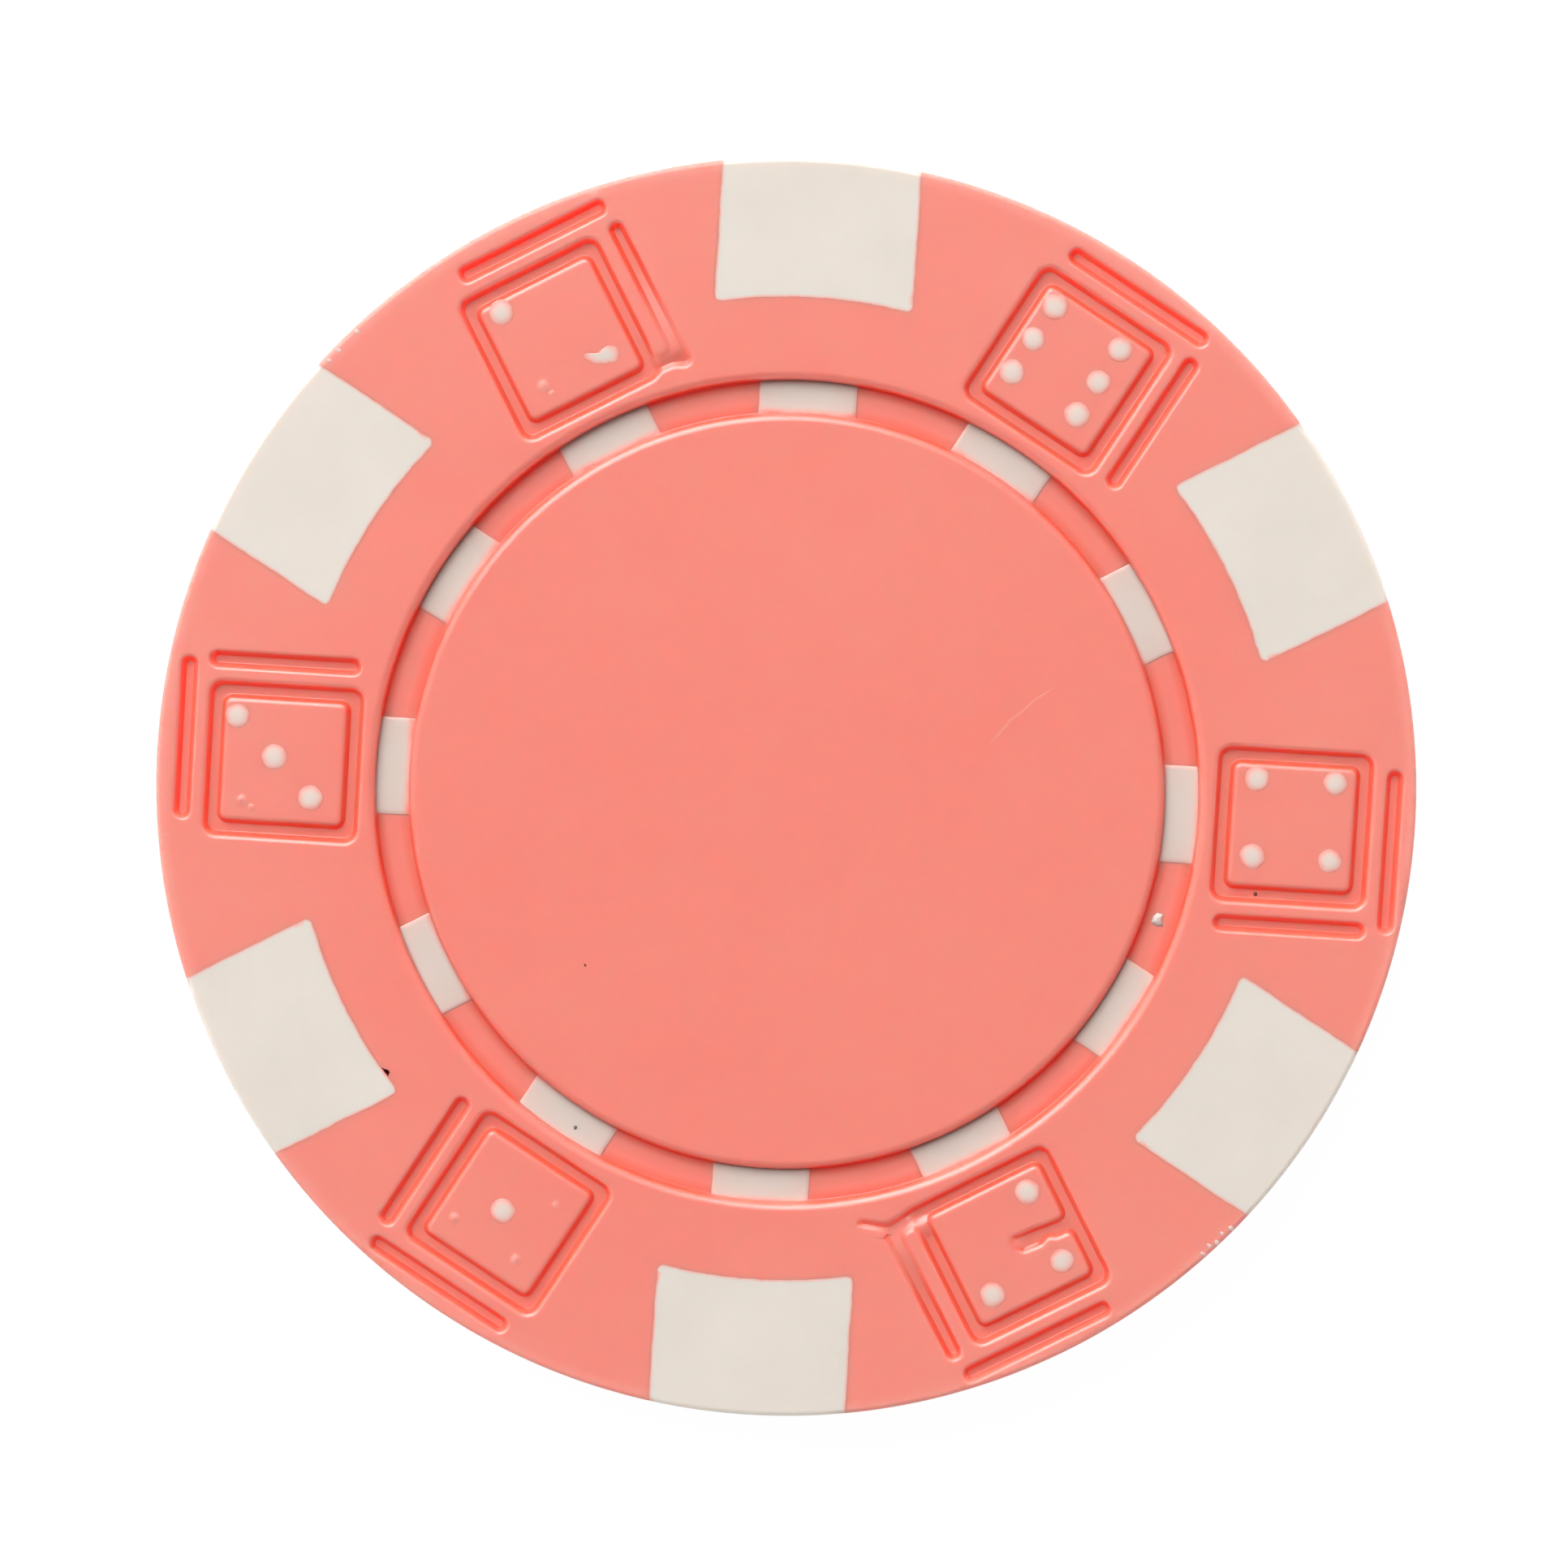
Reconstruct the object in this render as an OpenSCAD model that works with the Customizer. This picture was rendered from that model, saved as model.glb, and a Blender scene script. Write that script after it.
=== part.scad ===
// Two-colour dice chip: a white first shot holds a steel slug, and a coral second shot covers both.
// The chip lies on z = 0. +X runs through the four, and +Y through an edge spot.

/* [Chip] */
// Diameter over the rim
chip_d = 40; // [37:0.5:46]
// Thickness over the rim faces
chip_t = 3.3; // [3.2:0.05:4]
// Rounding of the rim's two edges
rim_round = 0.3; // [0.15:0.05:0.6]

/* [Centre disc] */
// Width of the ring groove round the disc
ring_w = 1.24; // [0.8:0.02:2]
// Depth of the ring groove below the rim face
ring_depth = 0.43; // [0.25:0.01:0.45]
// How far the disc lies below the rim face
disc_drop = 0.06; // [0.02:0.02:0.12]
// Rounding of the edges beside the ring groove
edge_round = 0.2; // [0.04:0.02:0.24]

/* [Edge spots] */
// Width of a spot between its parallel sides
spot_w = 6.3; // [4:0.1:6.6]
// Length of a spot on the face, from the rim inwards
spot_l = 4.4; // [3:0.05:5]

/* [Ring marks] */
// Number of white marks in each ring groove
mark_n = 12; // [6:1:16]
// Width of a mark
mark_w = 3.15; // [2:0.05:4]
// Height of a mark above the floor of the groove
mark_rise = 0.05; // [0.02:0.01:0.1]
// How far a mark runs under the coral at each side of the groove
mark_tuck = 0.2; // [0.1:0.05:0.4]

/* [Dice] */
// Side of a die's face
die_w = 3.87; // [3.2:0.01:4.4]
// Gap between the rim and the slot on the rim side
rim_gap = 0.465; // [0.4:0.005:0.8]
// Gap between a die's frame and the ring groove
ring_gap = 0.535; // [0.3:0.005:1]
// How far a die's face lies below the rim face
die_drop = 0.08; // [0.02:0.02:0.12]
// Width of the frame groove round the face
frame_w = 0.52; // [0.3:0.02:0.7]
// Depth of the frame groove and the slots below the rim face
frame_depth = 0.3; // [0.2:0.02:0.4]
// Radius of the frame groove's outer corners
frame_corner = 0.42; // [0.1:0.02:0.6]
// Width of the two slots beside the frame
slot_w = 0.46; // [0.3:0.02:0.6]
// Gap between the frame and a slot
slot_gap = 0.46; // [0.3:0.02:0.7]
// Length of the slot on the rim side
rim_slot_l = 5.1; // [4:0.1:5.2]
// How far the rim slot is moved clockwise
rim_slot_shift = 0.6; // [0:0.05:0.65]
// Length of the slot on the clockwise side
side_slot_l = 4.75; // [4:0.05:5]
// How far the side slot is moved outwards
side_slot_shift = 0.1; // [0:0.05:0.4]

/* [Pips] */
// Diameter of a pip
pip_d = 0.76; // [0.5:0.02:0.9]
// Distance between neighbouring pips, along a side of the die
pip_pitch = 1.23; // [1:0.01:1.4]
// Height of a pip's dome above the die's face
pip_rise = 0.06; // [0.02:0.01:0.1]
// Coral over the two studs of the five that the second shot has flooded
pip_cover = 0.12; // [0.06:0.02:0.2]

/* [Inside] */
// Coral over the white core on each face
skin_t = 0.65; // [0.55:0.05:0.8]
// Coral between the core's flange and the rim
rim_wall = 1.8; // [1.2:0.1:2.1]
// White round the edge of the slug
core_wall = 2.2; // [1:0.1:3]
// White lip over each face of the slug
lip_t = 0.325; // [0.2:0.025:0.5]
// How far the lip reaches in from the ring groove
lip_reach = 1.1; // [0.5:0.1:2]

/* [Hidden] */
$fn = 96;

// Dice in counter-clockwise order from +X; a spot lies halfway between each two
DICE = [4, 6, 2, 3, 1, 5];
// Dice whose frame runs on into the side slot at the inner clockwise corner
RUN_ON = [2, 5];
// Pips of each die in steps of pip_pitch: [outwards, counter-clockwise]
PIPS = [
    [[0, 0]],
    [[1, 1], [-1, -1]],
    [[-1, 1], [0, 0], [1, -1]],
    [[-1, -1], [-1, 1], [1, -1], [1, 1]],
    [[-1, 1], [1, -1], [1, 1]],
    [[-1, -1], [0, -1], [1, -1], [-1, 1], [0, 1], [1, 1]]
];
// Studs that stay under the coral, as for PIPS
FLOODED = [[], [], [], [], [[0, 0], [-1, -1]], []];

chip_r = chip_d / 2;
die_step = 360 / len(DICE);
mark_step = 360 / mark_n;
frame_half = die_w / 2 + frame_w;
slot_mid = frame_half + slot_gap + slot_w / 2;
// The face is laid out from the rim inwards: slot, die, ring groove, disc
die_r = chip_r - rim_gap - slot_w / 2 - slot_mid;
ring_out_r = die_r - frame_half - ring_gap;
disc_r = ring_out_r - ring_w;
spot_in_r = chip_r - spot_l;
flange_out_r = chip_r - rim_wall;
flange_in_r = disc_r - lip_reach;
slug_r = flange_out_r - core_wall;
slug_t = chip_t - 2 * (skin_t + lip_t);
slug_z = skin_t + lip_t;
// Level inside the lip where marks and studs start
root_z = chip_t - skin_t - lip_t / 2;
pip_r = pip_d / 2;
// Radius of the sphere that caps a pip
dome_r = (pip_r * pip_r + pip_rise * pip_rise) / (2 * pip_rise);
// How far a cut runs past the face it starts from
over = 0.5;

// Copies for the lower face, turned over about X
module both_faces() {
    children();
    translate([0, 0, chip_t])
        rotate([180, 0, 0])
            children();
}

module at_die(i) {
    rotate([0, 0, i * die_step])
        translate([die_r, 0, 0])
            children();
}

// Rectangle from x0 to x1 and z0 to z1 with round corners at x1, and at x0 too where r0 is set
module section(x0, x1, z0, z1, r1, r0 = 0) {
    translate([x0 + r0, z0])
        square([x1 - x0 - r1 - r0, z1 - z0]);
    translate([x1 - r1, z0 + r1])
        square([r1, z1 - z0 - 2 * r1]);
    for (z = [z0 + r1, z1 - r1])
        translate([x1 - r1, z])
            circle(r1);
    if (r0 > 0) {
        translate([x0, z0 + r0])
            square([r0, z1 - z0 - 2 * r0]);
        for (z = [z0 + r0, z1 - r0])
            translate([x0 + r0, z])
                circle(r0);
    }
}

module rounded_square(w, r) {
    square([w, w - 2 * r], center = true);
    square([w - 2 * r, w], center = true);
    for (x = [-1, 1], y = [-1, 1])
        translate([x * (w / 2 - r), y * (w / 2 - r)])
            circle(r);
}

module slot_outline(l, w) {
    square([l - w, w], center = true);
    for (x = [-1, 1])
        translate([x * (l - w) / 2, 0])
            circle(w / 2);
}

// Outer shape of the whole chip, both colours, without the dice
module envelope() {
    rotate_extrude() {
        section(ring_out_r, chip_r, 0, chip_t, rim_round, edge_round);
        translate([0, ring_depth])
            square([ring_out_r + edge_round, chip_t - 2 * ring_depth]);
        section(0, disc_r, disc_drop, chip_t - disc_drop, edge_round);
    }
}

// Frame groove of one die; on some dice its inner side runs on into the side slot
module frame_outline(value) {
    difference() {
        union() {
            rounded_square(2 * frame_half, frame_corner);
            if (len(search(value, RUN_ON)) > 0)
                translate([-frame_half, -slot_mid - slot_w / 2])
                    square([frame_w, slot_mid + slot_w / 2]);
        }
        square(die_w, center = true);
    }
}

module die_cuts(value) {
    translate([0, 0, chip_t - frame_depth])
        linear_extrude(frame_depth + over) {
            frame_outline(value);
            translate([slot_mid, -rim_slot_shift])
                rotate([0, 0, 90])
                    slot_outline(rim_slot_l, slot_w);
            translate([side_slot_shift, -slot_mid])
                slot_outline(side_slot_l, slot_w);
        }
    translate([0, 0, chip_t - die_drop])
        linear_extrude(die_drop + over)
            square(2 * frame_half - frame_w, center = true);
}

// White stud that ends in a pip's dome at the level top
module stud(place, top) {
    translate([place[0] * pip_pitch, place[1] * pip_pitch, root_z])
        intersection() {
            cylinder(r = pip_r, h = chip_t - root_z);
            translate([0, 0, top - root_z - dome_r])
                sphere(dome_r);
        }
}

module studs(value) {
    for (place = PIPS[value - 1])
        stud(place, chip_t - die_drop + pip_rise);
    for (place = FLOODED[value - 1])
        stud(place, chip_t - die_drop - pip_cover);
}

module marks() {
    translate([0, 0, root_z])
        linear_extrude(chip_t - ring_depth + mark_rise - root_z)
            for (i = [0:mark_n - 1])
                rotate([0, 0, i * mark_step])
                    intersection() {
                        translate([0, -mark_w / 2])
                            square([chip_r, mark_w]);
                        difference() {
                            circle(ring_out_r + mark_tuck);
                            circle(disc_r - mark_tuck);
                        }
                    }
}

module spots() {
    intersection() {
        envelope();
        linear_extrude(chip_t)
            difference() {
                for (i = [0:len(DICE) - 1])
                    rotate([0, 0, (i + 0.5) * die_step])
                        translate([0, -spot_w / 2])
                            square([chip_d, spot_w]);
                circle(spot_in_r);
            }
    }
}

module weight_slug() {
    color("#b4b6ba")
        translate([0, 0, slug_z])
            cylinder(r = slug_r, h = slug_t);
}

module white_core() {
    color("#e6ddd3")
        difference() {
            union() {
                translate([0, 0, skin_t])
                    cylinder(r = flange_out_r, h = chip_t - 2 * skin_t);
                spots();
                both_faces() {
                    marks();
                    for (i = [0:len(DICE) - 1])
                        at_die(i)
                            studs(DICE[i]);
                }
            }
            cylinder(r = flange_in_r, h = chip_t);
            weight_slug();
        }
}

module coral_body() {
    color("#f58c80")
        difference() {
            envelope();
            both_faces()
                for (i = [0:len(DICE) - 1])
                    at_die(i)
                        die_cuts(DICE[i]);
            white_core();
            weight_slug();
        }
}

weight_slug();
white_core();
coral_body();
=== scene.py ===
import math

import bmesh
import bpy
from mathutils import Matrix, Vector, noise
from mathutils.geometry import delaunay_2d_cdt


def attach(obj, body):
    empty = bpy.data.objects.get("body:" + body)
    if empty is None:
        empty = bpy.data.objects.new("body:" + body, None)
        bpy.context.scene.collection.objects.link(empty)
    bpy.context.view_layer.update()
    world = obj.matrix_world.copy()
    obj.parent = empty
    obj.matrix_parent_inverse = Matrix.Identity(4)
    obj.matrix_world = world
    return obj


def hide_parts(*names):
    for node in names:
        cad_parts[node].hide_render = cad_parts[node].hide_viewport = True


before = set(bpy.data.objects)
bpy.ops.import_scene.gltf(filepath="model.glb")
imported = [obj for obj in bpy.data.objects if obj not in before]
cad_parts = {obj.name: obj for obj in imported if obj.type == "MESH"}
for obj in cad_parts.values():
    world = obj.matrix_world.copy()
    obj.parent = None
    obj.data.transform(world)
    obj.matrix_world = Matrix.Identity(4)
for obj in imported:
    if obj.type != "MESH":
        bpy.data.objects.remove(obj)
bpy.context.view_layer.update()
scene = bpy.context.scene
mm = 0.001
samePlace = 1e-3                                 # mm; outline points closer than this are one
weldGap = 1e-4                                   # mm; points of a mesh closer than this are welded
print("frame loaded:", ", ".join(sorted(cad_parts)))


def linearColour(hexText):
    parts = [int(hexText[i:i + 2], 16) / 255 for i in (1, 3, 5)]
    return [c / 12.92 if c <= 0.04045 else ((c + 0.055) / 1.055) ** 2.4 for c in parts] + [1.0]


def addNode(tree, kind, inputs={}, **settings):
    node = tree.nodes.new(kind)
    for name, value in settings.items():
        setattr(node, name, value)
    for socket, value in inputs.items():
        if isinstance(value, bpy.types.NodeSocket):
            tree.links.new(value, node.inputs[socket])
        else:
            node.inputs[socket].default_value = value
    return node


# Short forms of the nodes that come up most; each gives the node's output
def mathOf(tree, operation, *values):
    return addNode(tree, "ShaderNodeMath", dict(enumerate(values)), operation=operation).outputs[0]


def remap(tree, value, fromRange=(0.0, 1.0), toRange=(0.0, 1.0)):
    return addNode(tree, "ShaderNodeMapRange", {
        "Value": value, "From Min": fromRange[0], "From Max": fromRange[1],
        "To Min": toRange[0], "To Max": toRange[1]}).outputs[0]


def mixColour(tree, share, first, second):
    ends = [linearColour(end) if isinstance(end, str) else end for end in (first, second)]
    return addNode(tree, "ShaderNodeMix", {0: share, 6: ends[0], 7: ends[1]}, data_type="RGBA").outputs[2]


def noiseOf(tree, place, grain, detail, roughness=0.5):
    return addNode(tree, "ShaderNodeTexNoise", {
        "Vector": place, "Scale": 1 / (grain * mm), "Detail": detail, "Roughness": roughness}).outputs["Fac"]


def markOf(tree, name):
    return addNode(tree, "ShaderNodeAttribute", attribute_name=name).outputs["Fac"]


def emptyMaterial(name):
    material = bpy.data.materials.new(name)
    material.use_nodes = True
    material.node_tree.nodes.clear()
    return material, material.node_tree


def closeMaterial(tree, inputs):
    shader = addNode(tree, "ShaderNodeBsdfPrincipled", inputs)
    addNode(tree, "ShaderNodeOutputMaterial", {"Surface": shader.outputs[0]})


def smooth(low, high, x):
    t = min(1.0, max(0.0, (x - low) / (high - low)))
    return t * t * (3 - 2 * t)


# Camera: almost straight above, leaning a little to the top right of the picture
cameraSetup = {
    "lens": 120.0, "distance": 167.35,           # mm
    "roll": 3.47,                                # degrees that the chip is turned clockwise in the picture
    "leanRight": 1.51, "leanUp": 3.016,          # degrees from straight above
    "aimRight": -0.048, "aimUp": 0.128, "aimHigh": 1.65,   # mm
    "clip": (0.01, 10),                          # m
}


def placeCamera(s):
    roll = math.radians(s["roll"])
    right = Vector((math.cos(roll), math.sin(roll), 0))
    up = Vector((-math.sin(roll), math.cos(roll), 0))
    lean = right * math.radians(s["leanRight"]) + up * math.radians(s["leanUp"])
    back = Vector((0, 0, 1)) * math.cos(lean.length) + lean.normalized() * math.sin(lean.length)
    top = (up - back * up.dot(back)).normalized()
    side = top.cross(back)
    aim = right * s["aimRight"] + up * s["aimUp"] + Vector((0, 0, s["aimHigh"]))
    spot = (aim + back * s["distance"]) * mm
    data = bpy.data.cameras.new("camera")
    data.lens = s["lens"]
    data.clip_start, data.clip_end = s["clip"]
    camera = bpy.data.objects.new("camera", data)
    camera.matrix_world = Matrix((
        (side.x, top.x, back.x, spot.x),
        (side.y, top.y, back.y, spot.y),
        (side.z, top.z, back.z, spot.z),
        (0, 0, 0, 1)))
    scene.collection.objects.link(camera)
    scene.camera = camera


placeCamera(cameraSetup)
scene.view_settings.view_transform = "Standard"
print("camera set")

# Light: one soft lamp from the upper left, and white surroundings that are bright near the horizon
lightSetup = {
    "keyTurn": 117.5, "keyRise": 42.0,           # degrees
    "keyFar": 1600.0, "keyWide": 1560.0,         # mm
    "keyShare": 0.875, "wallShare": 4.4, "skyShare": 0.1,    # parts of a plain light level
    "wallRise": 0.27,                            # how high the bright surroundings reach, as a sine
    "floorHalf": 1500.0, "floorLow": 0.02,       # mm
    "floorGlow": 1.03,                           # how bright the white floor shows
    "floorShadow": 0.05,                         # how much of the shadow shows on it
}


def placeLights(s):
    turn, rise = math.radians(s["keyTurn"]), math.radians(s["keyRise"])
    towards = Vector((math.cos(turn) * math.cos(rise), math.sin(turn) * math.cos(rise), math.sin(rise)))
    far = s["keyFar"] * mm
    data = bpy.data.lights.new("softKey", "AREA")
    data.shape = "DISK"
    data.size = s["keyWide"] * mm
    data.energy = s["keyShare"] * math.pi ** 2 * (far ** 2 + data.size ** 2 / 4) / math.sin(rise)
    lamp = bpy.data.objects.new("softKey", data)
    lamp.location = towards * far
    lamp.rotation_euler = towards.to_track_quat("Z", "Y").to_euler()
    scene.collection.objects.link(lamp)
    world = bpy.data.worlds.new("whiteRoom")
    world.use_nodes = True
    tree = world.node_tree
    place = addNode(tree, "ShaderNodeTexCoord")
    rises = addNode(tree, "ShaderNodeSeparateXYZ", {0: place.outputs["Generated"]})
    level = remap(tree, rises.outputs["Z"], (0.0, s["wallRise"]), (s["wallShare"], s["skyShare"]))
    background = tree.nodes["Background"]
    background.inputs["Color"].default_value = (1, 1, 1, 1)
    tree.links.new(level, background.inputs["Strength"])
    scene.world = world


# White paper: plain white to the camera and in reflections, with a little of the shadow kept
def whitePaper(s):
    material, tree = emptyMaterial("whitePaper")
    path = addNode(tree, "ShaderNodeLightPath")
    seen = mathOf(tree, "MAXIMUM", path.outputs["Is Camera Ray"], path.outputs["Is Glossy Ray"])
    seen = mathOf(tree, "MAXIMUM", seen, path.outputs["Is Transmission Ray"])
    share = mathOf(tree, "MULTIPLY", seen, 1 - s["floorShadow"])
    here = addNode(tree, "ShaderNodeTexCoord").outputs["Object"]
    tone = mixColour(tree, noiseOf(tree, here, 2.5, 3.0), "#fbfbfa", "#ffffff")
    paper = addNode(tree, "ShaderNodeBsdfDiffuse", {"Color": tone})
    glare = addNode(tree, "ShaderNodeEmission", {"Color": (1, 1, 1, 1), "Strength": s["floorGlow"]})
    mixed = addNode(tree, "ShaderNodeMixShader", {0: share, 1: paper.outputs[0], 2: glare.outputs[0]})
    addNode(tree, "ShaderNodeOutputMaterial", {"Surface": mixed.outputs[0]})
    return material


def makeFloor(s):
    mesh = bpy.data.meshes.new("floor")
    half, low = s["floorHalf"] * mm, -s["floorLow"] * mm
    corners = [(-half, -half, low), (half, -half, low), (half, half, low), (-half, half, low)]
    mesh.from_pydata(corners, [], [(0, 1, 2, 3)])
    mesh.materials.append(whitePaper(s))
    floor = bpy.data.objects.new("floor", mesh)
    scene.collection.objects.link(floor)


placeLights(lightSetup)
makeFloor(lightSetup)
print("light and floor set")


# Mould grain of both plastics, really about 0.03 mm, drawn at 0.11 mm so that it shows
def mouldGrain(tree, here):
    return addNode(tree, "ShaderNodeBump", {
        "Strength": 0.12, "Distance": 0.006 * mm, "Height": noiseOf(tree, here, 0.11, 2.0)}).outputs[0]


# ABS dyed coral, injection moulded against a fine spark-eroded mould: an even satin that lets a
# little light in, so that narrow shadows glow red
def coralAbs():
    material, tree = emptyMaterial("coralAbsMoulded")
    here = addNode(tree, "ShaderNodeTexCoord").outputs["Object"]
    clouds = noiseOf(tree, here, 1.6, 2.0)
    flow = mathOf(tree, "MULTIPLY_ADD", clouds, 0.35, noiseOf(tree, here, 9, 3.0, 0.55))
    body = mixColour(tree, remap(tree, flow, (0.45, 0.9)), "#ff8f82", "#ff9486")
    # paler outside the ring groove, a painted shade of deeper red in the grooves, and paler along the rim,
    # partly rubbed and partly painted light on its rounding
    flat = addNode(tree, "ShaderNodeVectorMath", {0: here, 1: (1, 1, 0)}, operation="MULTIPLY")
    out = addNode(tree, "ShaderNodeVectorMath", {0: flat.outputs[0]}, operation="LENGTH").outputs["Value"]
    band = remap(tree, out, (13.0 * mm, 17.5 * mm), (0.0, 0.25))
    paleBand = mixColour(tree, band, body, "#ffa396")
    deep = markOf(tree, "deep")
    paintedGrooveShade = mixColour(tree, deep, paleBand, "#f8654c")
    # paler along the rim: partly rubbed, partly painted light on the rim's shaded rounding
    rim = remap(tree, out, (19.55 * mm, 19.95 * mm))
    rubAndLight = remap(tree, noiseOf(tree, here, 0.5, 4.0, 0.7), (0.45, 0.75), (0.2, 0.55))
    worn = mixColour(tree, mathOf(tree, "MULTIPLY", rim, rubAndLight), paintedGrooveShade, "#ffb3a6")
    # painted highlights on the scratch and on the crowns of the small bumps
    paintedHighlights = mixColour(tree, markOf(tree, "tint"), worn, "#ffc0b5")
    darkened = mixColour(tree, markOf(tree, "soil"), paintedHighlights, "#6a3024")
    sheen = mathOf(tree, "MULTIPLY_ADD", rim, 0.3, remap(tree, clouds, toRange=(0.3, 0.38)))
    # light runs further through the thin walls of the grooves
    reach = remap(tree, deep, toRange=(0.12 * mm, 2.4 * mm))
    closeMaterial(tree, {
        "Base Color": darkened, "Roughness": sheen, "IOR": 1.6, "Specular IOR Level": 0.65,
        "Normal": mouldGrain(tree, here), "Subsurface Weight": 1.0,
        "Subsurface Radius": (1.0, 0.05, 0.03), "Subsurface Scale": reach})
    return material


# Natural white ABS of the first shot, the same satin; coral has bled a little into its borders
def whiteAbs():
    material, tree = emptyMaterial("whiteAbsMoulded")
    here = addNode(tree, "ShaderNodeTexCoord").outputs["Object"]
    cloud = noiseOf(tree, here, 2.6, 4.0, 0.6)
    body = mixColour(tree, remap(tree, cloud, (0.3, 0.7)), "#e2d9cf", "#e6ddd4")
    # tint is coral bled into the borders, and on the marks' ends painted red light bounced from the ring
    # walls
    tint = markOf(tree, "tint")
    ragged = remap(tree, noiseOf(tree, here, 0.4, 3.0), (0.3, 0.7), (0.75, 1.15))
    bleedAndWallLight = mathOf(tree, "MULTIPLY", tint, ragged)
    pale = mixColour(tree, remap(tree, bleedAndWallLight, (0.0, 0.5)), body, "#edc4ba")
    bledAndWallLit = mixColour(tree, remap(tree, bleedAndWallLight, (0.5, 1.0)), pale, "#f58d80")
    darkened = mixColour(tree, markOf(tree, "soil"), bledAndWallLit, "#857a74")
    # near its borders the light stays close to where it fell
    reach = remap(tree, tint, (0.0, 0.6), (0.35 * mm, 0.02 * mm))
    closeMaterial(tree, {
        "Base Color": darkened, "Roughness": remap(tree, cloud, toRange=(0.38, 0.5)), "IOR": 1.53,
        "Normal": mouldGrain(tree, here), "Subsurface Weight": 0.6,
        "Subsurface Radius": (1.0, 0.75, 0.6), "Subsurface Scale": reach})
    return material


# Cold-rolled steel sheet, blanked: grey, with fine rolling lines and a thin oil stain
def blankedSteel():
    material, tree = emptyMaterial("coldRolledSteel")
    here = addNode(tree, "ShaderNodeTexCoord").outputs["Object"]
    along = addNode(tree, "ShaderNodeMapping", {"Vector": here, "Scale": (0.04, 1, 1)})
    lines = noiseOf(tree, along.outputs[0], 0.12, 3.0)
    tone = mixColour(tree, noiseOf(tree, here, 5, 3.0), "#a9abb0", "#c2c3c6")
    bump = addNode(tree, "ShaderNodeBump", {"Strength": 0.2, "Distance": 0.004 * mm, "Height": lines})
    closeMaterial(tree, {
        "Base Color": tone, "Metallic": 1.0, "Roughness": remap(tree, lines, toRange=(0.28, 0.46)),
        "Normal": bump.outputs[0]})
    return material


coralPlastic, whitePlastic, slugSteel = coralAbs(), whiteAbs(), blankedSteel()
print("materials made")

# Shells are plain lists of points and faces in mm, with marks on the points that are darkened, tinted
# (by coral bleeding, and by painted highlights and painted bounce light), or given a painted shade deep in a
# groove
markNames = ("soil", "tint", "deep")


def newShell():
    return {"points": [], "faces": [], **{mark: {} for mark in markNames}}


def addRing(shell, flat, height):
    start = len(shell["points"])
    shell["points"] += [(p[0], p[1], height) for p in flat]
    return list(range(start, len(shell["points"])))


def joinRings(shell, first, second, closed=True):
    for i in range(len(first) if closed else len(first) - 1):
        j = (i + 1) % len(first)
        shell["faces"].append((first[i], first[j], second[j], second[i]))


def joinAll(shell, rings, closed=True):
    for first, second in zip(rings, rings[1:]):
        joinRings(shell, first, second, closed)


def fillFlat(shell, outer, holes=(), loose=()):
    rings = [outer, *holes]
    ids = [i for ring in rings for i in ring] + list(loose)
    order = {i: n for n, i in enumerate(ids)}
    flat = [Vector(shell["points"][i][:2]) for i in ids]
    insideOnly, tolerance = 1, 1e-7
    outlines = [[order[i] for i in ring] for ring in rings]
    places, _, faces, sources, _, owners = delaunay_2d_cdt(flat, [], outlines, insideOnly, tolerance)
    crossed = [tuple(places[k]) for k, group in enumerate(sources) if not group]
    if crossed:
        raise ValueError(f"outlines cross at {crossed[:4]}")
    for face, owner in zip(faces, owners):
        if list(owner) == [0]:                   # inside the outline and in none of its holes
            shell["faces"].append(tuple(ids[sources[k][0]] for k in face))


def addShell(shell, other, place):
    start = len(shell["points"])
    shell["points"] += [tuple(place @ Vector(p)) for p in other["points"]]
    shell["faces"] += [tuple(i + start for i in face) for face in other["faces"]]
    for mark in markNames:
        shell[mark].update({i + start: value for i, value in other[mark].items()})
    return start


# Both halves of something that is the same on both sides: the second is turned over about X
def addHalves(shell, upper, lower, thick):
    addShell(shell, upper, Matrix.Identity(4))
    addShell(shell, lower, Matrix.Translation((0, 0, thick)) @ Matrix.Rotation(math.pi, 4, "X"))


def shellMesh(name, shell, material, sharp=38):
    bm = bmesh.new()
    layers = {mark: bm.verts.layers.float.new(mark) for mark in markNames}
    verts = [bm.verts.new(Vector(p) * mm) for p in shell["points"]]
    for mark, layer in layers.items():
        for i, value in shell[mark].items():
            verts[i][layer] = value
    for face in shell["faces"]:
        bm.faces.new([verts[i] for i in face])
    bmesh.ops.remove_doubles(bm, verts=bm.verts, dist=weldGap * mm)
    bmesh.ops.delete(bm, geom=[v for v in bm.verts if not v.link_faces], context="VERTS")
    bmesh.ops.recalc_face_normals(bm, faces=bm.faces)
    for face in bm.faces:
        face.smooth = True
    for edge in bm.edges:
        edge.smooth = len(edge.link_faces) == 2 and edge.calc_face_angle() < math.radians(sharp)
    openEdges = sum(1 for edge in bm.edges if len(edge.link_faces) != 2)
    mesh = bpy.data.meshes.new(name)
    bm.to_mesh(mesh)
    bm.free()
    mesh.materials.append(material)
    print(name, len(mesh.polygons), "faces,", openEdges, "open edges")
    return mesh


def circle(radius, count, middle=Vector((0, 0))):
    turns = [2 * math.pi * i / count for i in range(count)]
    return [middle + Vector((math.cos(a), math.sin(a))) * radius for a in turns]


# A ragged outline round the origin for a small flaw at x, y
def raggedRing(x, y, wide, uneven, count):
    reach = [wide / 2 * (1 + uneven * noise.noise(Vector((x * 3 + k, y * 3, 0.4)))) for k in range(count)]
    return [p * r for p, r in zip(circle(1, count), reach)]


def turned(points, degrees):
    turn = Matrix.Rotation(math.radians(degrees), 2)
    return [turn @ Vector(p) for p in points]


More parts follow.
